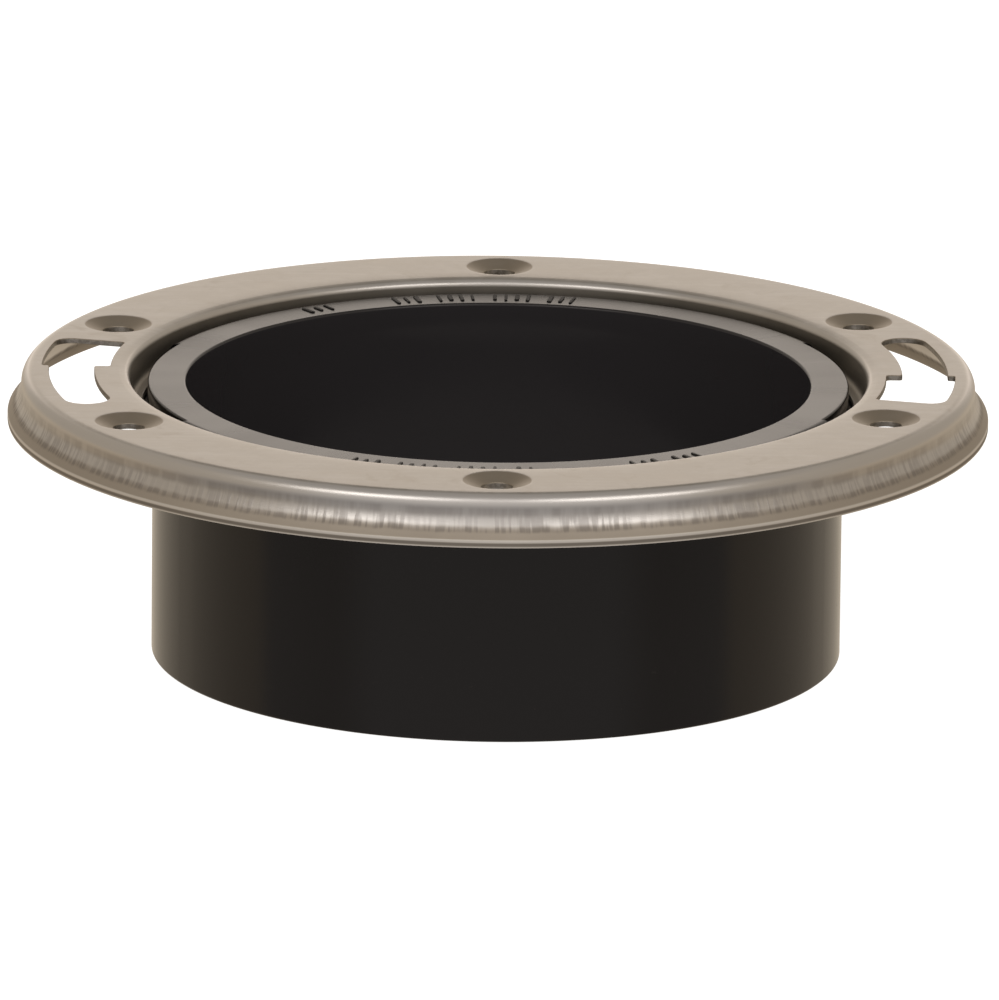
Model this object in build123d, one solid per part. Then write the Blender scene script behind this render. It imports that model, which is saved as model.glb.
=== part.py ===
from build123d import *

import os
from math import acos, atan2, cos, degrees, radians, sin, tan

# Closet (toilet) flange: a moulded ABS hub that slides over a 4 in drain pipe, and a
# pressed stainless-steel swivel ring trapped between the hub's lip and its two ledges.
# Millimetres. Origin: centre of the hub's bottom face. +Z up along the pipe, +X through
# the two closet-bolt slots of the ring.

# ---- driving dimensions: hub -------------------------------------------------------
HUB_OUTER_R = 62.6
HUB_HEIGHT = 50.2
SOCKET_R = 57.25  # slides over 114.3 mm (4.500 in) drain pipe
SOCKET_DEPTH = 44.45  # 1.75 in, up to the pipe stop
OPENING_R = 56.55  # throat above the pipe stop
NECK_R = 63.5  # bearing surface that the ring turns round
LIP_R = 65.2
LIP_ROUND = 2.0
LEDGE_R = 65.7  # the snap ledges that hold the ring up
HUB_TURN = 2.6  # degrees that the hub stands turned inside the ring
CRESCENT_HALF_WIDTH = 27.5  # the lip is cut away across this much each side of its axis
LEDGE_HALF_WIDTH = 25.5
LEAD_IN = 1.0  # chamfer at the socket mouth
EDGE_BREAK = 0.5  # small chamfers on moulded edges

# ---- driving dimensions: swivel ring -----------------------------------------------
SHEET = 1.0
RING_OUTER_R = 88.9  # 7.00 in across
RING_TOP = 52.2
RING_HOLE_R = 64.5
FLANGE_TOP = 46.0  # top face of the narrow inner flange under the hub's lip
INNER_WALL_R = 66.8
INNER_CROWN = 8.0  # large radius, then tight radius, where the plate turns down
INNER_BEND = 1.3
CROWN_ANGLE = 15.0
FLANGE_BEND = 1.4
OUTER_WALL_R = 86.4
OUTER_BEND = 2.3
WALL_FOOT_Z = 49.35  # where the outer wall starts to flare
FLARE_BEND = 4.0
FLARE_START = 24.0  # degrees from vertical after the first bend
FLARE_SWEEP_R = 12.0  # the flare itself is a longer arc out to the rim

# ---- driving dimensions: openings in the ring --------------------------------------
SLOT_WIDE_IN, SLOT_WIDE_OUT = 70.3, 82.7
SLOT_WIDE_FROM, SLOT_STEP = -14.5, -0.4  # degrees
SLOT_TIP = 19.8  # degrees, tip of the round end
SLOT_MID_R = 77.3
SLOT_WIDTH = 8.2  # takes a 5/16 in closet bolt
SLOT_CORNER = 3.0
SLOT_SMALL_CORNER = 0.8
SCREW_CIRCLE_R = 76.2  # 6.00 in pitch circle
SCREW_ANGLES = (-24.0, 30.0, 90.0)  # repeated half a turn further round
SCREW_HOLE_R = 2.8
DIMPLE_RIM_R = 6.6
DIMPLE_DEPTH = 1.25
DIMPLE_CONE_TOP_R = 6.1
DIMPLE_RIM_ROUND = 2.4

GAP = 0.3  # clearance above and below the ring's inner flange

LIP_UNDERSIDE = FLANGE_TOP + GAP
LEDGE_TOP = FLANGE_TOP - SHEET - GAP
LEDGE_FACE = 1.2  # height of the upright outer face of a ledge
LEDGE_RAMP = 5.0  # height of the ramp below it
NECK_FOOT = LEDGE_TOP - LEDGE_FACE - LEDGE_RAMP - 1.0


def hub_profile():
    """Wall section of the hub, socket, pipe stop, neck and lip, on the XZ plane."""
    with BuildSketch(Plane.XZ) as section:
        with BuildLine():
            Polyline(
                (SOCKET_R, LEAD_IN),
                (SOCKET_R + LEAD_IN, 0),
                (HUB_OUTER_R - EDGE_BREAK, 0),
                (HUB_OUTER_R, EDGE_BREAK),
                (HUB_OUTER_R, NECK_FOOT - (NECK_R - HUB_OUTER_R)),
                (NECK_R, NECK_FOOT),
                (NECK_R, LIP_UNDERSIDE),
                (LIP_R, LIP_UNDERSIDE),
                (LIP_R, HUB_HEIGHT - LIP_ROUND),
            )
            CenterArc((LIP_R - LIP_ROUND, HUB_HEIGHT - LIP_ROUND), LIP_ROUND, 0, 90)
            Polyline(
                (LIP_R - LIP_ROUND, HUB_HEIGHT),
                (OPENING_R + EDGE_BREAK, HUB_HEIGHT),
                (OPENING_R, HUB_HEIGHT - EDGE_BREAK),
                (OPENING_R, SOCKET_DEPTH),
                (SOCKET_R, SOCKET_DEPTH),
                (SOCKET_R, LEAD_IN),
            )
        make_face()
    return section.sketch


def make_hub():
    """The moulded hub, its lip cut away in two crescents above two snap ledges."""
    hub = revolve(hub_profile(), axis=Axis.Z)
    lip_height = HUB_HEIGHT - LIP_UNDERSIDE
    band = Pos(0, 0, LIP_UNDERSIDE) * extrude(
        Circle(LIP_R + 1) - Circle(NECK_R), lip_height + 1
    )
    across = Pos(0, 0, LIP_UNDERSIDE) * extrude(
        Rectangle(4 * LIP_R, 2 * CRESCENT_HALF_WIDTH), lip_height + 1
    )
    hub -= Rot(0, 0, HUB_TURN) * (band & across)
    return hub + Rot(0, 0, HUB_TURN) * make_ledges()


def make_ledges():
    """Two ledges with ramped undersides, one below each crescent."""
    root = NECK_R - 0.6  # inside the wall, so that the ledge and the wall fuse
    foot = LEDGE_TOP - LEDGE_FACE - LEDGE_RAMP
    with BuildSketch(Plane.XZ) as section:
        with BuildLine():
            Polyline(
                (root, foot),
                (NECK_R, foot),
                (LEDGE_R, LEDGE_TOP - LEDGE_FACE),
                (LEDGE_R, LEDGE_TOP),
                (root, LEDGE_TOP),
                close=True,
            )
        make_face()
    ring = revolve(section.sketch, axis=Axis.Z)
    slab = Pos(0, 0, foot - 1) * extrude(
        Rectangle(4 * LEDGE_R, 2 * LEDGE_HALF_WIDTH), LEDGE_TOP - foot + 2
    )
    return ring & slab


def on_circle(centre, radius, angle):
    """The point of a circle at an angle in degrees from +X."""
    return (
        centre[0] + radius * cos(radians(angle)),
        centre[1] + radius * sin(radians(angle)),
    )


def inner_skin(offset):
    """Ring's inner flange, inner wall and crown, moved from the upper face by an offset."""
    crown_x = INNER_WALL_R + INNER_BEND + (INNER_CROWN - INNER_BEND) * sin(
        radians(CROWN_ANGLE)
    )
    crown_centre = (crown_x, RING_TOP - INNER_CROWN)
    bend_centre = on_circle(crown_centre, INNER_CROWN - INNER_BEND, 90 + CROWN_ANGLE)
    foot_centre = (INNER_WALL_R - FLANGE_BEND, FLANGE_TOP + FLANGE_BEND)
    flange_z = FLANGE_TOP - offset
    wall_r = INNER_WALL_R + offset
    bend_sweep = -(90 - CROWN_ANGLE)
    return [
        Line((RING_HOLE_R, flange_z), (foot_centre[0], flange_z)),
        CenterArc(foot_centre, FLANGE_BEND + offset, -90, 90),
        Line((wall_r, foot_centre[1]), (wall_r, bend_centre[1])),
        CenterArc(bend_centre, INNER_BEND - offset, 180, bend_sweep),
        CenterArc(crown_centre, INNER_CROWN - offset, 90 + CROWN_ANGLE, -CROWN_ANGLE),
    ]


def outer_skin(offset):
    """Ring's outer bend, outer wall and flare out to the rim, offset in the same way."""
    bend_centre = (OUTER_WALL_R - OUTER_BEND, RING_TOP - OUTER_BEND)
    flare_centre = (OUTER_WALL_R + FLARE_BEND, WALL_FOOT_Z)
    wall_r = OUTER_WALL_R - offset
    start = radians(FLARE_START)
    reach = FLARE_SWEEP_R - FLARE_BEND
    sweep_centre = (flare_centre[0] + reach * cos(start), WALL_FOOT_Z + reach * sin(start))
    sweep_r = FLARE_SWEEP_R + offset
    rim_angle = degrees(acos((sweep_centre[0] - RING_OUTER_R) / sweep_r))
    return [
        CenterArc(bend_centre, OUTER_BEND - offset, 90, -90),
        Line((wall_r, bend_centre[1]), (wall_r, WALL_FOOT_Z)),
        CenterArc(flare_centre, FLARE_BEND + offset, 180, FLARE_START),
        CenterArc(sweep_centre, sweep_r, 180 + FLARE_START, rim_angle - FLARE_START),
    ]


def make_blank_ring():
    """The pressed ring before it is pierced: upper and lower skins joined at their ends."""
    with BuildSketch(Plane.XZ) as section:
        with BuildLine():
            skins = []
            for offset in (0, SHEET):
                inner, outer = inner_skin(offset), outer_skin(offset)
                skins.append((inner[0] @ 0, outer[-1] @ 1))
                Line(inner[-1] @ 1, outer[0] @ 0)
            (hole_top, rim_top), (hole_under, rim_under) = skins
            Line(hole_top, hole_under)
            Line(rim_top, rim_under)
        make_face()
    return revolve(section.sketch, axis=Axis.Z)


def sector(inner_r, outer_r, start, end):
    """A flat annular sector between two radii and two angles."""
    with BuildSketch() as piece:
        with BuildLine():
            outer = CenterArc((0, 0), outer_r, start, end - start)
            inner = CenterArc((0, 0), inner_r, start, end - start)
            Line(inner @ 0, outer @ 0)
            Line(inner @ 1, outer @ 1)
        make_face()
    return piece.sketch


def slot_outline():
    """Keyhole slot: a wide mouth that the bolt head passes, then a narrow curved slot."""
    half = SLOT_WIDTH / 2
    round_centre = SLOT_TIP - degrees(half / SLOT_MID_R)
    wide = sector(SLOT_WIDE_IN, SLOT_WIDE_OUT, SLOT_WIDE_FROM, SLOT_STEP)
    corners = wide.vertices().sort_by(Axis.Y)
    wide = fillet(corners[0:1], SLOT_CORNER)
    wide = fillet(wide.vertices().sort_by(Axis.X)[0:1], SLOT_SMALL_CORNER)
    narrow = sector(SLOT_MID_R - half, SLOT_MID_R + half, SLOT_STEP - 1, round_centre)
    tip = Pos(*on_circle((0, 0), SLOT_MID_R, round_centre)) * Circle(half)
    return wide + narrow + tip


def dimple_skin(offset):
    """Radius and depth of one skin of a pressed countersink, from its rim to its hole."""
    slope = atan2(DIMPLE_DEPTH, DIMPLE_CONE_TOP_R - SCREW_HOLE_R)
    shift = offset * tan(slope / 2)  # keeps the cone's thickness equal to the sheet's
    drop = DIMPLE_DEPTH + offset * (1 / cos(slope) - 1)
    return FilletPolyline(
        (DIMPLE_RIM_R, -offset),
        (DIMPLE_CONE_TOP_R + shift, -offset),
        (SCREW_HOLE_R, -drop - offset),
        radius=DIMPLE_RIM_ROUND - offset,
    )


def make_dimple():
    """One pressed countersink round a screw hole, about Z, with its rim at z = 0."""
    with BuildSketch(Plane.XZ) as section:
        with BuildLine():
            upper, under = dimple_skin(0), dimple_skin(SHEET)
            Line(upper @ 0, under @ 0)
            Line(upper @ 1, under @ 1)
        make_face()
    return revolve(section.sketch, axis=Axis.Z)


def make_swivel_ring():
    """The pressed ring with its two closet-bolt slots and six dimpled screw holes."""
    ring = make_blank_ring()
    slot = Pos(0, 0, RING_TOP - 2 * SHEET) * extrude(slot_outline(), 3 * SHEET)
    seat = Pos(SCREW_CIRCLE_R, 0, RING_TOP - 2 * SHEET) * Cylinder(
        DIMPLE_RIM_R, 3 * SHEET, align=(Align.CENTER, Align.CENTER, Align.MIN)
    )
    dimple = Pos(SCREW_CIRCLE_R, 0, RING_TOP) * make_dimple()
    for half_turn in (0, 180):
        ring -= Rot(0, 0, half_turn) * slot
        for angle in SCREW_ANGLES:
            turn = Rot(0, 0, angle + half_turn)
            ring = ring - turn * seat + turn * dimple
    return ring


if __name__ == "__main__":
    os.makedirs("parts", exist_ok=True)
    export_step(make_hub(), "parts/hub.step")
    export_step(make_swivel_ring(), "parts/swivel_ring.step")
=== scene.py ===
import math

import bmesh
import bpy
import numpy as np
from mathutils import Matrix, Vector
from mathutils.geometry import delaunay_2d_cdt


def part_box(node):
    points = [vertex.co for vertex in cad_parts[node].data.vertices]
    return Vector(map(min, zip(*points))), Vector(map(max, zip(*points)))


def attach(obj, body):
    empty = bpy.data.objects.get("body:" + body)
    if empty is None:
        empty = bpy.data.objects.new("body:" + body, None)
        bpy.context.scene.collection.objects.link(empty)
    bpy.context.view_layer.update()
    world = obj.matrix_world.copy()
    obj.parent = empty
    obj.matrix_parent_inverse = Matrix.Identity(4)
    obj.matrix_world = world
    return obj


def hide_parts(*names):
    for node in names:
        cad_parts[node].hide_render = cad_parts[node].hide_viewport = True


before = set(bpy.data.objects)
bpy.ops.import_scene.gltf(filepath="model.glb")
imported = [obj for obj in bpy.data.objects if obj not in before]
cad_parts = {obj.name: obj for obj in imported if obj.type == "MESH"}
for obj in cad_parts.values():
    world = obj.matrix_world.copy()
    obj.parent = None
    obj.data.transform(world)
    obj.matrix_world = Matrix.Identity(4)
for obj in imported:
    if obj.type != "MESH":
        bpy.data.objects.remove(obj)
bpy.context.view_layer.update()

# A closet flange: a black ABS hub and the pressed stainless ring that turns on it.
# Lengths in this file are millimetres until make_object() turns them into metres.
# The profile is the CAD's, repeated with finer edges; the overall sizes come from the parts' boxes in
# model.glb.
MM = 0.001
HUB_LOW, HUB_HIGH = (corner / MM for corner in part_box("hub"))
RING_LOW, RING_HIGH = (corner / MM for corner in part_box("swivel_ring"))

HUB_HEIGHT = HUB_HIGH.z
HUB_OUTER_R = 62.6
SOCKET_R = 57.25
SOCKET_DEPTH = 44.45
OPENING_R = 56.55
NECK_R = 63.5
LIP_R = 65.2
LIP_ROUND = 1.9
LEDGE_R = 65.7
LIP_UNDERSIDE = 46.3
LEDGE_TOP = 44.7
LEDGE_FACE = 1.2
LEDGE_RAMP = 5.0
NECK_FOOT = LEDGE_TOP - LEDGE_FACE - LEDGE_RAMP - 1.0
HUB_TURN = math.radians(2.6)
CRESCENT_HALF_WIDTH = 27.5
LEDGE_HALF_WIDTH = 25.5

SHEET = 1.0
RING_TOP = RING_HIGH.z
RING_OUTER_R = min(RING_HIGH.x, -RING_LOW.x) - 0.005  # just inside the CAD's box
RING_HOLE_R = 64.5
FLANGE_TOP = RING_TOP - 6.2
INNER_WALL_R = 66.8
INNER_CROWN = 8.0
INNER_BEND = 1.3
CROWN_ANGLE = 15.0
FLANGE_BEND = 1.4
OUTER_WALL_R = 86.4
OUTER_BEND = 2.3
WALL_FOOT_Z = RING_TOP - 2.85
FLARE_BEND = 4.0
FLARE_START = 24.0
FLARE_SWEEP_R = 12.0
OUTER_CROWN_FROM = 82.0
OUTER_CROWN_R = 100.0
PLATE_IN, PLATE_OUT = 68.9, 83.6  # the pierced part of the plate, meshed flat

SLOT_WIDE_IN, SLOT_WIDE_OUT = 70.3, 82.7
SLOT_WIDE_FROM, SLOT_STEP = -14.5, -0.4
SLOT_TIP = 19.8
SLOT_MID_R = 77.3
SLOT_WIDTH = 8.2
SCREW_CIRCLE_R = 76.2
SCREW_ANGLES = (-24.0, 30.0, 90.0)
SCREW_HOLE_R = 2.8
DIMPLE_MESH_R = 6.9
DIMPLE_CONE_TOP_R = 6.1
DIMPLE_DEPTH = 1.25
DIMPLE_ROUND = 2.4
EDGE_ROUND = 0.16
THROAT_RISE, THROAT_DROP = 1.2, 3.0  # the throat's step as a soft slope, above and below

TURN_STEPS = 900  # mesh columns round the ring and the hub
DIMPLE_STEPS = 96


# ---- small geometry helpers --------------------------------------------------------
def arc(centre, radius, start, end, steps):
    """Points on an arc, angles in degrees, both ends included."""
    angles = np.radians(np.linspace(start, end, steps + 1))
    return [(centre[0] + radius * math.cos(a), centre[1] + radius * math.sin(a)) for a in angles]


def without_repeats(points, least=1e-5):
    """The same path with points that lie on each other dropped."""
    kept = [points[0]]
    for point in points[1:]:
        if math.dist(point, kept[-1]) > least:
            kept.append(point)
    return kept


def offset_path(path, distance):
    """The path moved sideways, to the right of its direction of travel."""
    p = np.array(path, float)
    along = np.gradient(p, axis=0)
    along /= np.linalg.norm(along, axis=1)[:, None]
    side = np.stack([along[:, 1], -along[:, 0]], axis=1)
    return [tuple(q) for q in p + distance * side]


def cut_at(path, limit, axis=0):
    """The path up to the first place where it crosses a limit on one coordinate."""
    kept = [path[0]]
    for before, after in zip(path, path[1:]):
        low, high = sorted((before[axis], after[axis]))
        if low <= limit <= high and high > low:
            share = (limit - before[axis]) / (after[axis] - before[axis])
            kept.append(tuple(b + share * (a - b) for b, a in zip(before, after)))
            return kept
        kept.append(after)
    return kept


def round_corner(before, corner, after, size, steps=4):
    """A small rounded corner as a quadratic curve."""
    b, c, a = (np.array(p, float) for p in (before, corner, after))
    start = c + (b - c) / np.linalg.norm(b - c) * size
    end = c + (a - c) / np.linalg.norm(a - c) * size
    ts = np.linspace(0, 1, steps + 1)[:, None]
    curve = (1 - ts) ** 2 * start + 2 * ts * (1 - ts) * c + ts**2 * end
    return [tuple(p) for p in curve]


def trim_end(path, corner, size):
    """The path without the points closer to its end corner than a given size."""
    kept = [p for p in path if math.dist(p, corner) > size * 1.05]
    return kept or path[:1]


def sheet_strip(upper, cut, side):
    """A closed-ended strip of sheet metal: along the upper skin, over the cut edge and back below.

    upper runs past the cut radius; side is +1 where the metal lies left of the cut, -1 where right.
    """
    lower = offset_path(upper, SHEET * side)
    lower[0] = (upper[0][0], upper[0][1] - SHEET)
    upper, lower = cut_at(upper, cut), cut_at(lower, cut)
    top, bottom = upper[-1], lower[-1]
    path = trim_end(upper, top, EDGE_ROUND)
    path += round_corner(path[-1], top, bottom, EDGE_ROUND)
    under = trim_end(lower, bottom, EDGE_ROUND)
    path += round_corner(top, bottom, under[-1], EDGE_ROUND)
    return without_repeats(path + under[::-1])


class Builder:
    """Collects vertices and faces in millimetres."""

    def __init__(self):
        self.points, self.faces = [], []

    def add(self, points, faces):
        start = len(self.points)
        self.points.extend(points)
        self.faces.extend([tuple(start + i for i in face) for face in faces])

    def add_grid(self, rows, flip=False, wrap=True):
        """Quads between neighbouring rows of equal length; wrap closes the last row on the first."""
        count, width = len(rows), len(rows[0])
        faces = []
        for i in range(count if wrap else count - 1):
            a, b = i * width, ((i + 1) % count) * width
            for j in range(width - 1):
                quad = (a + j, b + j, b + j + 1, a + j + 1)
                faces.append(quad[::-1] if flip else quad)
        self.add([point for row in rows for point in row], faces)


def make_object(name, builder, material, body, sharp=35.0):
    """A welded, smooth-shaded object in metres that rides on a body."""
    mesh = bpy.data.meshes.new(name)
    mesh.from_pydata([tuple(c * MM for c in p) for p in builder.points], [], builder.faces)
    work = bmesh.new()
    work.from_mesh(mesh)
    bmesh.ops.remove_doubles(work, verts=work.verts, dist=2e-6)
    bmesh.ops.recalc_face_normals(work, faces=work.faces)
    work.to_mesh(mesh)
    work.free()
    mesh.shade_smooth()
    mesh.set_sharp_from_angle(angle=math.radians(sharp))
    mesh.materials.append(material)
    piece = bpy.data.objects.new(name, mesh)
    bpy.context.scene.collection.objects.link(piece)
    normals = piece.modifiers.new("weighted_normals", "WEIGHTED_NORMAL")
    normals.keep_sharp = True
    normals.weight = 60
    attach(piece, body)
    return piece


# ---- swivel ring -------------------------------------------------------------------
def plate_height(radius):
    """Height of the plate's upper face: flat, with a crown near each bend."""
    crown_x = INNER_WALL_R + INNER_BEND + (INNER_CROWN - INNER_BEND) * math.sin(
        math.radians(CROWN_ANGLE)
    )
    if radius < crown_x:
        run = crown_x - radius
        return RING_TOP - INNER_CROWN + math.sqrt(INNER_CROWN**2 - run**2)
    if radius > OUTER_CROWN_FROM:
        return RING_TOP - (radius - OUTER_CROWN_FROM) ** 2 / (2 * OUTER_CROWN_R)
    return RING_TOP


def outer_strip():
    """Section of the ring outside the plate: bend, wall, flare and sheared rim."""
    bend_x = OUTER_WALL_R - OUTER_BEND
    slope = (bend_x - OUTER_CROWN_FROM) / (OUTER_CROWN_R - OUTER_BEND)
    start_x = bend_x + OUTER_BEND * slope
    bend_z = plate_height(start_x) - OUTER_BEND * math.cos(slope)
    upper = [(r, plate_height(r)) for r in np.linspace(PLATE_OUT, start_x, 4)]
    upper += arc((bend_x, bend_z), OUTER_BEND, 90 - math.degrees(slope), 0, 16)[1:]
    upper += [(OUTER_WALL_R, z) for z in np.linspace(bend_z, WALL_FOOT_Z, 3)][1:]
    flare_centre = (OUTER_WALL_R + FLARE_BEND, WALL_FOOT_Z)
    upper += arc(flare_centre, FLARE_BEND, 180, 180 + FLARE_START, 6)[1:]
    reach = FLARE_SWEEP_R - FLARE_BEND
    start = math.radians(FLARE_START)
    sweep = (flare_centre[0] + reach * math.cos(start), flare_centre[1] + reach * math.sin(start))
    upper += arc(sweep, FLARE_SWEEP_R, 180 + FLARE_START, 180 + FLARE_START + 30, 30)[1:]
    return sheet_strip(upper, RING_OUTER_R, 1)


def inner_strip():
    """Section of the ring inside the plate: crown, bend, wall and the narrow trapped flange."""
    crown_x = INNER_WALL_R + INNER_BEND + (INNER_CROWN - INNER_BEND) * math.sin(
        math.radians(CROWN_ANGLE)
    )
    turn = math.radians(90 + CROWN_ANGLE)
    reach = INNER_CROWN - INNER_BEND
    bend = (crown_x + reach * math.cos(turn), RING_TOP - INNER_CROWN + reach * math.sin(turn))
    crown_end = bend[0] + INNER_BEND * math.cos(turn)
    foot = (INNER_WALL_R - FLANGE_BEND, FLANGE_TOP + FLANGE_BEND)
    upper = [(r, plate_height(r)) for r in np.linspace(PLATE_IN, crown_end, 5)]
    upper += arc(bend, INNER_BEND, 90 + CROWN_ANGLE, 180, 12)[1:]
    upper += [(INNER_WALL_R, z) for z in np.linspace(bend[1], foot[1], 4)][1:]
    upper += arc(foot, FLANGE_BEND, 0, -90, 10)[1:]
    upper += [(RING_HOLE_R - 0.5, FLANGE_TOP)]
    return sheet_strip(upper, RING_HOLE_R, -1)


def dimple_strip():
    """Section of a pressed countersink, as (distance from its axis, height from the plate)."""
    slope = math.atan2(DIMPLE_DEPTH, DIMPLE_CONE_TOP_R - SCREW_HOLE_R)
    run = DIMPLE_ROUND * math.tan(slope / 2)
    degrees = math.degrees(slope)
    upper = [(DIMPLE_MESH_R, 0)]
    upper += arc(
        (DIMPLE_CONE_TOP_R + run, -DIMPLE_ROUND), DIMPLE_ROUND, 90, 90 + degrees, 10
    )
    past = SCREW_HOLE_R - 1.2
    upper += [(past, -(DIMPLE_CONE_TOP_R - past) * math.tan(slope))]
    return sheet_strip(upper, SCREW_HOLE_R, -1)


def slot_outline():
    """The keyhole slot as a closed smooth loop of points, spaced about a quarter of a millimetre."""
    half = SLOT_WIDTH / 2
    scale = math.radians(1) * SLOT_MID_R  # millimetres along the middle of the slot per degree
    wide, step, tip = SLOT_WIDE_FROM * scale, SLOT_STEP * scale, SLOT_TIP * scale
    corners = [
        (wide, SLOT_WIDE_OUT, 3.0),
        (wide, SLOT_WIDE_IN, 0.8),
        (step, SLOT_WIDE_IN, 0.8),
        (step, SLOT_MID_R - half, 0.6),
        (tip, SLOT_MID_R - half, half * 0.98),
        (tip, SLOT_MID_R + half, half * 0.98),
        (step, SLOT_MID_R + half, 0.4),
        (step, SLOT_WIDE_OUT, 0.5),
    ]
    flat = []
    for k, (u, v, size) in enumerate(corners):
        before, after = corners[k - 1][:2], corners[(k + 1) % len(corners)][:2]
        toward = [
            np.array((u, v)) + size * np.subtract(p, (u, v)) / math.dist(p, (u, v))
            for p in (before, after)
        ]
        centre = toward[0] + toward[1] - np.array((u, v))
        a0 = math.atan2(*(toward[0] - centre)[::-1])
        a1 = math.atan2(*(toward[1] - centre)[::-1])
        sweep = (a1 - a0 + math.pi) % (2 * math.pi) - math.pi
        steps = max(5, int(abs(sweep) * size / 0.22))
        flat += [
            tuple(centre + size * np.array((math.cos(a), math.sin(a))))
            for a in np.linspace(a0, a0 + sweep, steps + 1)
        ]
    dense = []
    for start, end in zip(flat, flat[1:] + flat[:1]):
        steps = max(1, int(math.dist(start, end) / 0.6))
        dense += [
            tuple(np.array(start) + (np.array(end) - np.array(start)) * s / steps)
            for s in range(steps)
        ]
    dense = without_repeats(dense, 0.02)
    return [(v * math.cos(u / SLOT_MID_R), v * math.sin(u / SLOT_MID_R)) for u, v in dense]


def loop_normals(loop):
    """Unit vectors that point out of a closed loop of points, whichever way it runs."""
    p = np.array(loop)
    along = np.roll(p, -1, axis=0) - np.roll(p, 1, axis=0)
    along /= np.linalg.norm(along, axis=1)[:, None]
    out = np.stack([along[:, 1], -along[:, 0]], axis=1)
    area = np.sum(p[:, 0] * np.roll(p[:, 1], -1) - np.roll(p[:, 0], -1) * p[:, 1])
    return out if area > 0 else -out


def turned(points, angle):
    """Points turned about the origin by an angle in radians."""
    c, s = math.cos(angle), math.sin(angle)
    return [(c * x - s * y, s * x + c * y) for x, y in points]


def circle(radius, steps, centre=(0.0, 0.0)):
    return [
        (
            centre[0] + radius * math.cos(2 * math.pi * i / steps),
            centre[1] + radius * math.sin(2 * math.pi * i / steps),
        )
        for i in range(steps)
    ]


def inside(points, loop):
    """Which of the points lie inside a closed loop."""
    x, y = points[:, 0], points[:, 1]
    found = np.zeros(len(points), bool)
    for (x0, y0), (x1, y1) in zip(loop, loop[1:] + loop[:1]):
        crosses = (y0 > y) != (y1 > y)
        with np.errstate(divide="ignore", invalid="ignore"):
            found ^= crosses & (x < (x1 - x0) * (y - y0) / (y1 - y0) + x0)
    return found


def plate_triangles(outer, inner, holes):
    """A triangulation of the plate between two circles, with its openings left out."""
    loops = [outer, inner] + holes
    points, edges = [], []
    for loop in loops:
        start = len(points)
        points += loop
        edges += [(start + i, start + (i + 1) % len(loop)) for i in range(len(loop))]
    radii = np.linspace(PLATE_IN + 1.6, PLATE_OUT - 1.6, 7)
    fill = np.array([p for k, r in enumerate(radii) for p in turned(circle(r, 240), 0.013 * k)])
    boundary = np.array(points)
    clear = np.ones(len(fill), bool)
    for hole in holes:
        clear &= ~inside(fill, hole)
    for start in range(0, len(fill), 200):
        block = fill[start : start + 200]
        gaps = np.linalg.norm(block[:, None, :] - boundary[None, :, :], axis=2).min(axis=1)
        clear[start : start + 200] &= gaps > 0.8
    points += [tuple(p) for p in fill[clear]]
    found = delaunay_2d_cdt([Vector(p) for p in points], edges, [], 0, 1e-7)
    flat, triangles = np.array([tuple(v) for v in found[0]]), found[2]
    middles = np.array([flat[list(t)].mean(axis=0) for t in triangles])
    keep = inside(middles, outer) & ~inside(middles, inner)
    for hole in holes:
        keep &= ~inside(middles, hole)
    return flat, [t for t, k in zip(triangles, keep) if k]


def make_ring(material):
    """The pressed ring: plate with its openings, then the bands inside and outside it."""
    builder = Builder()
    angles = [2 * math.pi * i / TURN_STEPS for i in range(TURN_STEPS)]
    for strip in (outer_strip(), inner_strip()):
        rows = [[(r * math.cos(a), r * math.sin(a), z) for r, z in strip] for a in angles]
        builder.add_grid(rows)

    slot = slot_outline()
    edge = sheet_strip([(-2 * EDGE_ROUND, 0), (-EDGE_ROUND, 0), (0.5, 0)], 0, 1)
    holes = []
    for half_turn in (0, math.pi):
        loop = turned(slot, half_turn)
        normals = loop_normals(loop)
        rows = []
        for (x, y), (nx, ny) in zip(loop, normals):
            row = []
            for d, dz in edge:
                px, py = x - nx * d, y - ny * d
                row.append((px, py, plate_height(math.hypot(px, py)) + dz))
            rows.append(row)
        builder.add_grid(rows)
        holes.append([row[0][:2] for row in rows])
        for degrees in SCREW_ANGLES:
            angle = math.radians(degrees) + half_turn
            centre = (SCREW_CIRCLE_R * math.cos(angle), SCREW_CIRCLE_R * math.sin(angle))
            rows = []
            for spoke in circle(1.0, DIMPLE_STEPS):
                row = []
                for d, dz in dimple_strip():
                    px, py = centre[0] + d * spoke[0], centre[1] + d * spoke[1]
                    row.append((px, py, plate_height(math.hypot(px, py)) + dz))
                rows.append(row)
            builder.add_grid(rows)
            holes.append([row[0][:2] for row in rows])

    outer = [(PLATE_OUT * math.cos(a), PLATE_OUT * math.sin(a)) for a in angles]
    inner = [(PLATE_IN * math.cos(a), PLATE_IN * math.sin(a)) for a in angles]
    flat, triangles = plate_triangles(outer, inner, holes)
    for drop in (0, SHEET):
        builder.add(
            [(x, y, plate_height(math.hypot(x, y)) - drop) for x, y in flat], triangles
        )
    ring = make_object("swivel_ring_sheet", builder, material, "ring_body")
    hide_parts("swivel_ring")
    return ring


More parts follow.
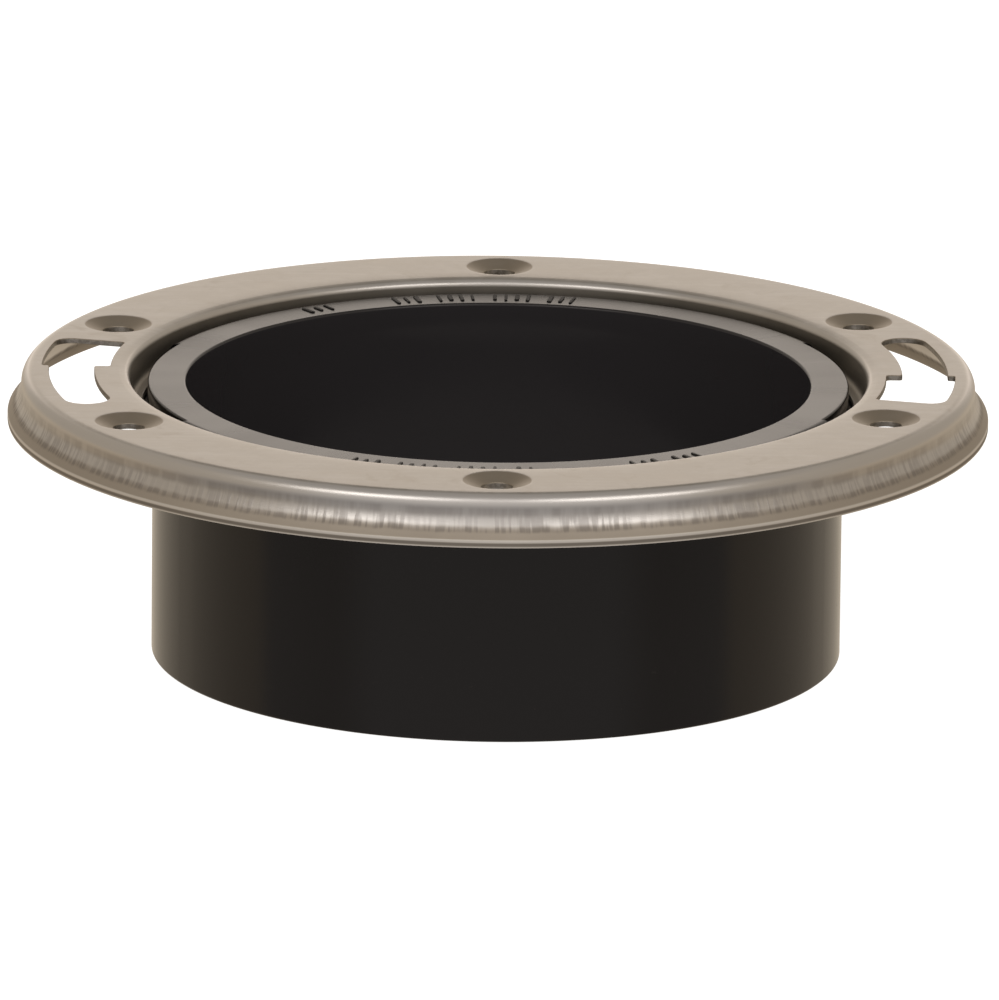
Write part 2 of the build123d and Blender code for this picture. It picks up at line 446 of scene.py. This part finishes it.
# ---- hub ---------------------------------------------------------------------------
def hub_section(lip, ledge):
    """The hub's closed section; a missing lip or ledge keeps its points, laid on the neck."""
    corner = 0.45
    bottom = [
        (SOCKET_R, 1.0),
        (SOCKET_R + 0.95, 0.05),
        (SOCKET_R + 1.1, 0.0),
        (HUB_OUTER_R - 0.5, 0.0),
    ]
    bottom += arc((HUB_OUTER_R - 0.5, 0.5), 0.5, -90, 0, 5)[1:]
    bottom += [(HUB_OUTER_R, z) for z in (2.0, 12.0, 24.0, NECK_FOOT - 0.9)]
    bottom += [(NECK_R, NECK_FOOT)]
    foot = LEDGE_TOP - LEDGE_FACE - LEDGE_RAMP
    reach = LEDGE_R - NECK_R if ledge else 0.0
    ledge_points = [
        (NECK_R, foot),
        (NECK_R + reach, foot + LEDGE_RAMP),
        (NECK_R + reach, LEDGE_TOP - 0.2),
        (NECK_R + max(reach - 0.2, 0), LEDGE_TOP),
        (NECK_R, LEDGE_TOP + 0.02),
    ]
    under = [(NECK_R, LIP_UNDERSIDE - 0.02)]
    steps = 10
    if lip:
        lip_points = [(LIP_R - 0.15, LIP_UNDERSIDE), (LIP_R, LIP_UNDERSIDE + 0.15)]
        lip_points += arc((LIP_R - LIP_ROUND, HUB_HEIGHT - LIP_ROUND), LIP_ROUND, 0, 90, steps)
    else:
        lip_points = [(NECK_R, LIP_UNDERSIDE), (NECK_R, LIP_UNDERSIDE + 0.2)]
        lip_points += arc((NECK_R - corner, HUB_HEIGHT - corner), corner, 0, 90, steps)
    top = [(NECK_R - 1.2, HUB_HEIGHT), (OPENING_R + 0.5, HUB_HEIGHT)]
    top += arc((OPENING_R + 0.5, HUB_HEIGHT - 0.5), 0.5, 90, 180, 5)[1:]
    top += [(OPENING_R, SOCKET_DEPTH + THROAT_RISE), (SOCKET_R, SOCKET_DEPTH - THROAT_DROP)]
    top += [(SOCKET_R, 22.0), (SOCKET_R, 1.0)]
    return bottom + ledge_points + under + lip_points + top


def cut_angle(half_width, radius):
    """Where a cut parallel to the crescent's axis crosses a radius, seen from the centre."""
    return math.asin(half_width / max(radius, NECK_R))


def hub_columns():
    """The hub's columns from -90 to +90 degrees about one crescent's axis."""
    full, bare = hub_section(True, False), hub_section(False, False)
    ledged = hub_section(False, True)
    limit_lip = cut_angle(CRESCENT_HALF_WIDTH, NECK_R)
    limit_ledge = cut_angle(LEDGE_HALF_WIDTH, NECK_R)
    step = 2 * math.pi / TURN_STEPS

    def plain(section, start, end):
        count = max(1, round((end - start) / step))
        return [(section, [a] * len(section)) for a in np.linspace(start, end, count + 1)]

    def cut(section, half_width, sign):
        return section, [sign * cut_angle(half_width, r) for r, z in section]

    margin = 0.02
    near_ledge = cut_angle(LEDGE_HALF_WIDTH, LEDGE_R) - margin
    columns = plain(full, -math.pi / 2, -limit_lip - margin)
    columns += [cut(full, CRESCENT_HALF_WIDTH, -1), cut(bare, CRESCENT_HALF_WIDTH, -1)]
    columns += [cut(bare, LEDGE_HALF_WIDTH, -1), cut(ledged, LEDGE_HALF_WIDTH, -1)]
    columns += plain(ledged, -near_ledge, near_ledge)
    columns += [cut(ledged, LEDGE_HALF_WIDTH, 1), cut(bare, LEDGE_HALF_WIDTH, 1)]
    columns += [cut(bare, CRESCENT_HALF_WIDTH, 1), cut(full, CRESCENT_HALF_WIDTH, 1)]
    columns += plain(full, limit_lip + margin, math.pi / 2)[:-1]
    return columns


def make_hub(material):
    """The moulded hub, turned a little inside the ring."""
    builder = Builder()
    rows = []
    for half_turn in (HUB_TURN, HUB_TURN + math.pi):
        for section, angles in hub_columns():
            rows.append(
                [
                    (r * math.cos(a + half_turn), r * math.sin(a + half_turn), z)
                    for (r, z), a in zip(section, angles)
                ]
            )
    builder.add_grid(rows)
    hub = make_object("hub_moulding", builder, material, "hub_body")
    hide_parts("hub")
    return hub


# ---- raised bars on the lip --------------------------------------------------------
MARK_HEIGHT = 0.25
MARK_SUNK = 0.05  # how far the bars reach into the lip
MARK_GROUPS = (  # middle radius, first angle, step between bars in degrees, bars, bar length
    (60.5, 74.5, 1.95, 17, 4.4),
    (60.7, 118.5, 2.1, 3, 3.6),
    (61.7, -117.0, 2.0, 16, 3.0),
    (61.7, -69.5, 2.0, 7, 3.0),
)


def add_bar(builder, middle_r, angle, length, width):
    """One closed raised bar with rounded upper edges, lying across the lip at an angle."""
    c, s = math.cos(angle), math.sin(angle)
    rings = [(1.0, -MARK_SUNK), (1.0, 0.6 * MARK_HEIGHT)]
    rings += [(0.9, 0.9 * MARK_HEIGHT), (0.7, MARK_HEIGHT)]
    outline = []
    for x, y, turn in ((1, 1, 0), (-1, 1, 90), (-1, -1, 180), (1, -1, 270)):
        for a in np.radians(np.linspace(turn, turn + 90, 4)):
            outline.append((x, y, math.cos(a), math.sin(a)))
    rows = []
    for x, y, ca, sa in outline:
        row = []
        for grow, z in rings:
            inset = (1 - grow) * width
            px = x * (length / 2 - width / 2) + (width / 2 - inset) * ca
            py = (width / 2 - inset) * sa
            row.append((px, py, z))
        rows.append(row)

    def place(point):
        px, py, z = point
        r = middle_r + px
        return (r * c - py * s, r * s + py * c, HUB_HEIGHT + z)

    placed = [[place(p) for p in row] for row in rows]
    builder.add_grid(placed)
    for level in (0, -1):
        cap = [row[level] for row in placed]
        builder.add(cap, [tuple(range(len(cap)))])


def make_marks(material):
    """Plain bars where such a hub carries its moulded size marking."""
    builder = Builder()
    for middle_r, first, step, count, length in MARK_GROUPS:
        for i in range(count):
            if i % 5 == 3:
                continue  # a gap, so that the bars stand in small groups
            angle = math.radians(first + step * i) + HUB_TURN
            add_bar(builder, middle_r, angle, length - 0.8 * (i % 2), 0.55 + 0.15 * (i % 3))
    return make_object("lip_marks", builder, material, "hub_body")


# ---- materials ---------------------------------------------------------------------
class Nodes:
    """A short way to write node trees."""

    def __init__(self, tree):
        self.tree = tree
        tree.nodes.clear()

    def new(self, kind, inputs=None, **settings):
        node = self.tree.nodes.new(kind)
        for name, value in settings.items():
            setattr(node, name, value)
        for name, value in (inputs or {}).items():
            if isinstance(value, bpy.types.NodeSocket):
                self.tree.links.new(value, node.inputs[name])
            else:
                node.inputs[name].default_value = value
        return node

    def math(self, operation, a, b=0.0, c=0.0):
        return self.new("ShaderNodeMath", {0: a, 1: b, 2: c}, operation=operation).outputs[0]

    def product(self, *values):
        found = values[0]
        for value in values[1:]:
            found = self.math("MULTIPLY", found, value)
        return found

    def ramp(self, value, low, high, out_low=0.0, out_high=1.0):
        """A smooth step from one value to another as the input goes from low to high."""
        inputs = {"Value": value, 1: low, 2: high, 3: out_low, 4: out_high}
        return self.new("ShaderNodeMapRange", inputs, interpolation_type="SMOOTHSTEP").outputs[0]

    def band(self, value, centre, half):
        """One at a centre value, falling to nothing at a distance of half."""
        away = self.math("ABSOLUTE", self.math("SUBTRACT", value, centre))
        return self.ramp(away, half, half * 0.25)

    def vector(self, x, y, z):
        return self.new("ShaderNodeCombineXYZ", {"X": x, "Y": y, "Z": z}).outputs[0]

    def noise(self, vector, scale, detail=3.0, rough=0.5, distortion=0.0):
        inputs = {
            "Vector": vector,
            "Scale": scale,
            "Detail": detail,
            "Roughness": rough,
            "Distortion": distortion,
        }
        return self.new("ShaderNodeTexNoise", inputs).outputs[0]

    def mix(self, factor, a, b):
        """A blend of two colours, each a socket or a (red, green, blue)."""
        node = self.new("ShaderNodeMix", {0: factor}, data_type="RGBA")
        for index, value in ((6, a), (7, b)):
            if isinstance(value, bpy.types.NodeSocket):
                self.tree.links.new(value, node.inputs[index])
            else:
                node.inputs[index].default_value = (*value, 1.0)
        return node.outputs[2]

    def bump(self, height, strength, distance, normal=None):
        inputs = {"Height": height, "Strength": strength, "Distance": distance}
        if normal is not None:
            inputs["Normal"] = normal
        return self.new("ShaderNodeBump", inputs).outputs[0]

    def finish(self, inputs):
        """The shader and the material's output."""
        shader = self.new("ShaderNodeBsdfPrincipled", inputs)
        self.new("ShaderNodeOutputMaterial", {"Surface": shader.outputs[0]})


def new_material(name):
    material = bpy.data.materials.new(name)
    material.use_nodes = True
    return material, Nodes(material.node_tree)


class Place:
    """The shaded point: its place, radius about the pipe's axis and direction from it, in metres."""

    def __init__(self, n):
        self.vector = n.new("ShaderNodeTexCoord").outputs["Object"]
        parts = n.new("ShaderNodeSeparateXYZ", {0: self.vector}).outputs
        self.x, self.y, self.z = parts[0], parts[1], parts[2]
        squares = [n.product(c, c) for c in (self.x, self.y)]
        self.radius = n.math("SQRT", n.math("ADD", *squares))
        self.turn = [n.math("DIVIDE", c, self.radius) for c in (self.x, self.y)]


def round_noise(n, at, around, height, *settings):
    """Noise that runs seamlessly round the axis, at a scale in cells per radian."""
    x, y = (n.product(t, around) for t in at.turn)
    return n.noise(n.vector(x, y, height), 1.0, *settings)


# Colours are linear (red, green, blue); heights and radii in the masks below are metres.
PLATE_DARK, PLATE_LIGHT = (0.335, 0.307, 0.271), (0.43, 0.402, 0.366)
GRAIN_BROWN, STAIN_BROWN = (0.345, 0.305, 0.255), (0.28, 0.24, 0.19)
BEND_POLISHED, STREAK_GREY = (0.465, 0.433, 0.402), (0.24, 0.215, 0.20)
FLARE_MATTE, FOOT_SHADE_AND_LINE_DARK = (0.36, 0.312, 0.256), (0.14, 0.122, 0.11)
FRACTURE_DARK, BURR_AND_HIGHLIGHT_BRIGHT = (0.13, 0.115, 0.10), (0.60, 0.555, 0.50)
DISH_SHADE_BROWN, WELL_SHADE_BROWN = (0.225, 0.18, 0.125), (0.27, 0.235, 0.19)
CUT_DARK, CUT_LIGHT = (0.23, 0.205, 0.175), (0.32, 0.29, 0.255)
ABS_OUTSIDE, ABS_BORE_PAINTED_LIGHT = (0.0042, 0.0037, 0.0039), (0.0262, 0.0240, 0.0252)
ABS_SCUFF, ABS_SPECULAR = (0.016, 0.014, 0.012), (1.0, 0.93, 0.86)
FLOOR_DARK, FLOOR_LIGHT = (0.30, 0.30, 0.298), (0.33, 0.33, 0.328)


def skirt_marks(n, at):
    """Masks on the ring's skirt: its matte lower flare, short upright streaks, soft draw lines at the
    matte edge and a painted shade line along the wall's foot.
    """
    wobble = round_noise(n, at, 26.0, 0.0, 3.0, 0.6)
    level = n.math("MULTIPLY_ADD", n.math("SUBTRACT", wobble, 0.5), 0.0006, at.z)
    wall = n.ramp(at.radius, 0.0859, 0.0862)
    matte = n.product(n.ramp(level, 0.0471, 0.0458), wall)
    streak = round_noise(n, at, 120.0, n.product(at.z, 160.0), 1.0, 0.5)
    patch = round_noise(n, at, 5.0, 3.0, 2.0, 0.5)
    fine = n.product(n.ramp(streak, 0.40, 0.62), n.ramp(patch, 0.30, 0.60, 0.25, 1.0))
    fine = n.product(fine, n.band(level, 0.0472, 0.0019), wall)
    # painted shade: a dark band along the wall's foot, where the wall turns into the flare
    foot = n.product(n.band(level, 0.0491, 0.0013), n.ramp(wobble, 0.35, 0.6, 0.5, 1.0))
    edge = n.product(n.band(level, 0.0461, 0.0007), n.ramp(streak, 0.40, 0.60, 0.4, 1.0))
    return matte, fine, streak, n.product(n.math("MAXIMUM", foot, edge), wall)


def pressed_faces(n, at):
    """Masks: the dished walls round the screw holes, the plate's sheared edges, and the bends."""
    normal = n.new("ShaderNodeNewGeometry").outputs["Normal"]
    upright = n.math("ABSOLUTE", n.new("ShaderNodeSeparateXYZ", {0: normal}).outputs[2])
    plate = n.product(n.ramp(at.radius, 0.0690, 0.0696), n.ramp(at.radius, 0.0838, 0.0832))
    dish = n.product(n.ramp(upright, 0.995, 0.972), plate)
    cut = n.product(n.ramp(upright, 0.35, 0.15), plate)
    bends = n.product(n.ramp(upright, 0.985, 0.86), n.math("SUBTRACT", 1.0, plate))
    return dish, cut, bends


def rim_bands(n, at):
    """Masks on the sheared rim: bright burrs above and below, partly a painted highlight along both
    edges, and the dark fracture between them.
    """
    shear = n.ramp(at.radius, 0.08868, 0.08880)
    burrs = n.math("MAXIMUM", n.band(at.z, 0.0431, 0.0004), n.band(at.z, 0.0443, 0.0004))
    return n.product(shear, burrs), n.product(shear, n.band(at.z, 0.0437, 0.0005))


def steel_material():
    """Cold-rolled stainless sheet: satin plate, polished bends, matte lower flare, sheared rim."""
    material, n = new_material("stainless_sheet")
    at = Place(n)
    matte, fine, streak, foot_shade_and_edge_lines = skirt_marks(n, at)
    grain = n.noise(n.vector(n.product(at.x, 22.0), n.product(at.y, 900.0), 0.0), 1.0, 3.0, 0.6)
    mottle = n.noise(at.vector, 75.0, 5.0, 0.62)
    stain = n.ramp(n.noise(at.vector, 140.0, 3.0, 0.6, 0.6), 0.58, 0.72)
    coarse = n.noise(at.vector, 1400.0, 3.0, 0.6)
    dish, cut, bends = pressed_faces(n, at)
    polish = n.product(bends, n.ramp(at.radius, 0.0690, 0.0830, 0.65, 1.0))
    burr_and_highlight, fracture = rim_bands(n, at)
    # painted shade: the ring's inner wall below its bend is darkened, down in the gap beside the hub
    shaded_well = n.product(n.ramp(at.radius, 0.0676, 0.0669), n.ramp(at.z, 0.0514, 0.0505))

    colour = n.mix(n.ramp(mottle, 0.34, 0.66), PLATE_DARK, PLATE_LIGHT)
    for mask, strength, tint in (
        (n.ramp(grain, 0.4, 0.6), 0.25, GRAIN_BROWN),
        (stain, 0.35, STAIN_BROWN),
        (polish, 1.0, BEND_POLISHED),
        (fine, 0.42, STREAK_GREY),
        (matte, 1.0, FLARE_MATTE),
        # painted shade along the wall's foot, and dark draw lines along the matte edge
        (foot_shade_and_edge_lines, 0.45, FOOT_SHADE_AND_LINE_DARK),
        (fracture, 0.6, FRACTURE_DARK),
        # partly burnished burrs, partly a painted highlight along the rim's upper and lower edges
        (burr_and_highlight, 1.0, BURR_AND_HIGHLIGHT_BRIGHT),
        # painted shade: the dished walls round the screw holes are darkened and browned
        (dish, 0.75, DISH_SHADE_BROWN),
        (cut, 1.0, n.mix(n.ramp(coarse, 0.4, 0.6), CUT_DARK, CUT_LIGHT)),
        (shaded_well, 0.8, WELL_SHADE_BROWN),
    ):
        colour = n.mix(n.product(mask, strength), colour, tint)

    rough = n.math("MULTIPLY_ADD", n.math("SUBTRACT", mottle, 0.5), 0.16, 0.40)
    pressed = n.math("MAXIMUM", dish, cut)
    changes = ((polish, -0.08), (matte, 0.32), (fine, 0.12), (pressed, 0.10), (shaded_well, 0.12))
    for mask, change in changes:
        rough = n.math("MULTIPLY_ADD", mask, change, rough)

    normal = n.bump(grain, 0.12, 0.00005)
    normal = n.bump(n.product(streak, fine), 0.25, 0.0001, normal)
    n.finish({"Base Color": colour, "Metallic": 1.0, "Roughness": rough, "Normal": normal})
    return material


def plastic_material():
    """Black moulded ABS: glossy wall, satin lip, faint flow marks and scuffs, and a bore given a
    lighter black as painted light.
    """
    material, n = new_material("black_abs")
    at = Place(n)
    flow = round_noise(n, at, 3.0, n.product(at.z, 30.0))
    scuff = n.ramp(round_noise(n, at, 40.0, n.product(at.z, 700.0), 4.0, 0.65, 0.4), 0.66, 0.74)
    # painted light: the inside of the bore gets a lighter black than the outside, so it reads as lit
    inside = n.product(n.ramp(at.radius, 0.0590, 0.0582), n.ramp(at.z, 0.0503, 0.0498))
    colour = n.mix(inside, ABS_OUTSIDE, ABS_BORE_PAINTED_LIGHT)
    colour = n.mix(n.product(scuff, 0.35), colour, ABS_SCUFF)

    lip, raised = n.ramp(at.z, 0.0496, 0.0501), n.ramp(at.z, 0.0502, 0.05026)
    rough = 0.10
    for mask, change in ((lip, 0.14), (n.ramp(flow, 0.3, 0.7), 0.05), (scuff, 0.12), (raised, 0.25)):
        rough = n.math("MULTIPLY_ADD", mask, change, rough)

    normal = n.bump(n.noise(at.vector, 900.0, 3.0, 0.6), 0.06, 0.00004)
    gloss = {"IOR": 1.33, "Specular Tint": (*ABS_SPECULAR, 1.0)}
    n.finish({"Base Color": colour, "Roughness": rough, "Normal": normal, **gloss})
    return material


def floor_material():
    """A pale seamless paper that glows softly; where the hub stands over it the glow is cut low as
    painted shade.
    """
    material, n = new_material("pale_floor")
    at = Place(n)
    # painted shade: the glow drops to a low level inside the hub's foot
    glow_with_hub_shade = n.ramp(at.radius, 0.0590, 0.0615, 0.12, 0.97)
    tone = n.mix(n.noise(at.vector, 3.0), FLOOR_DARK, FLOOR_LIGHT)
    white = {"Emission Color": (1, 1, 1, 1), "Emission Strength": glow_with_hub_shade}
    n.finish({"Base Color": tone, "Roughness": 0.9, **white})
    return material


# ---- stage, light and camera -------------------------------------------------------
FLOOR_R = 6.0
FLOOR_GAP = 0.0002  # keeps the floor from sharing the plane of the hub's foot
FLOOR_INSIDE_R = 0.060  # ends under the hub's wall


def make_floor():
    """The floor, and the patch of it inside the hub that the bore reflects."""
    material = floor_material()
    patches = (("floor", FLOOR_R, FLOOR_GAP), ("floor_inside", FLOOR_INSIDE_R, FLOOR_GAP / 2))
    for name, radius, drop in patches:
        mesh = bpy.data.meshes.new(name)
        mesh.from_pydata([(x, y, -drop) for x, y in circle(radius, 96)], [], [tuple(range(96))])
        mesh.materials.append(material)
        patch = bpy.data.objects.new(name, mesh)
        bpy.context.scene.collection.objects.link(patch)
        # Outside the hub, gloss sees the studio below the horizon instead of the floor.
        patch.visible_glossy = name == "floor_inside"


SOFTBOX_AZIMUTH, SOFTBOX_ELEVATION = 34, 45  # degrees; 0 is the camera's side, 90 is +X
SOFTBOX_DISTANCE = 1.3
SOFTBOX_SIZE = (0.66, 0.42)
SOFTBOX_WATTS = 2.3


def make_softbox(name, azimuth):
    """An area light in front that faces the object."""
    a, e = math.radians(azimuth), math.radians(SOFTBOX_ELEVATION)
    way = Vector((math.sin(a) * math.cos(e), -math.cos(a) * math.cos(e), math.sin(e)))
    place = SOFTBOX_DISTANCE * way
    light = bpy.data.lights.new(name, "AREA")
    light.shape = "RECTANGLE"
    light.size, light.size_y = SOFTBOX_SIZE
    light.energy = SOFTBOX_WATTS
    lamp = bpy.data.objects.new(name, light)
    lamp.location = place
    lamp.rotation_euler = (-place).to_track_quat("-Z", "Y").to_euler()
    lamp.visible_camera = False
    bpy.context.scene.collection.objects.link(lamp)


def make_world():
    """A soft studio: even in front, dimmer at the sides, white low behind, warm below the sides."""
    world = bpy.data.worlds.new("studio")
    bpy.context.scene.world = world
    world.use_nodes = True
    n = Nodes(world.node_tree)
    way = n.new("ShaderNodeTexCoord").outputs["Generated"]
    parts = n.new("ShaderNodeSeparateXYZ", {0: way}).outputs
    x, y, z = parts[0], parts[1], parts[2]
    front = n.product(y, -1.0)
    away = n.math("DIVIDE", n.math("ARCTAN2", n.math("ABSOLUTE", x), front), math.pi)
    side = n.ramp(away, 0.20, 0.32)
    behind = n.ramp(away, 0.85, 0.95)

    open_front = n.mix(n.ramp(z, 0.0, 0.85), (0.80, 0.78, 0.77), (1.00, 0.98, 0.96))
    upper = n.mix(side, open_front, (0.62, 0.565, 0.49))
    backdrop = n.mix(n.ramp(z, 0.34, 0.50), (1.67, 1.50, 1.335), (0.30, 0.28, 0.26))
    upper = n.mix(behind, upper, backdrop)
    upper = n.mix(n.ramp(z, 0.72, 0.86), upper, (0.54, 0.52, 0.50))
    lower = n.mix(side, (0.68, 0.67, 0.67), (0.50, 0.47, 0.44))
    lower = n.mix(n.ramp(away, 0.44, 0.49), lower, (0.72, 0.62, 0.49))
    colour = n.mix(n.ramp(z, -0.10, 0.04), lower, upper)
    sky = n.new("ShaderNodeBackground", {"Color": colour, "Strength": 1.0})
    n.new("ShaderNodeOutputWorld", {"Surface": sky.outputs[0]})


CAMERA_ELEVATION = math.radians(15.142)
CAMERA_ROLL = math.radians(0.596)
CAMERA_DISTANCE = 3.0102
CAMERA_LIFT = 0.02694  # metres above the line from the hub's foot along the view
CAMERA_SIDE = 0.00045
CAMERA_LENS = 595.5


def make_camera():
    look = Vector((0, math.cos(CAMERA_ELEVATION), -math.sin(CAMERA_ELEVATION)))
    right = Vector((1, 0, 0))
    up = right.cross(look)
    data = bpy.data.cameras.new("camera")
    data.lens = CAMERA_LENS
    data.sensor_width = 36.0
    data.clip_end = 50.0
    camera = bpy.data.objects.new("camera", data)
    place = -CAMERA_DISTANCE * look + CAMERA_SIDE * right + CAMERA_LIFT * up
    upright = Matrix((right, up, -look)).transposed().to_4x4()
    camera.matrix_world = Matrix.Translation(place) @ upright @ Matrix.Rotation(CAMERA_ROLL, 4, "Z")
    bpy.context.scene.collection.objects.link(camera)
    bpy.context.scene.camera = camera


make_camera()
make_world()
make_floor()
make_softbox("softbox_left", -SOFTBOX_AZIMUTH)
make_softbox("softbox_right", SOFTBOX_AZIMUTH)
bpy.context.scene.view_settings.view_transform = "Standard"
steel, plastic = steel_material(), plastic_material()
make_ring(steel)
make_hub(plastic)
make_marks(plastic)
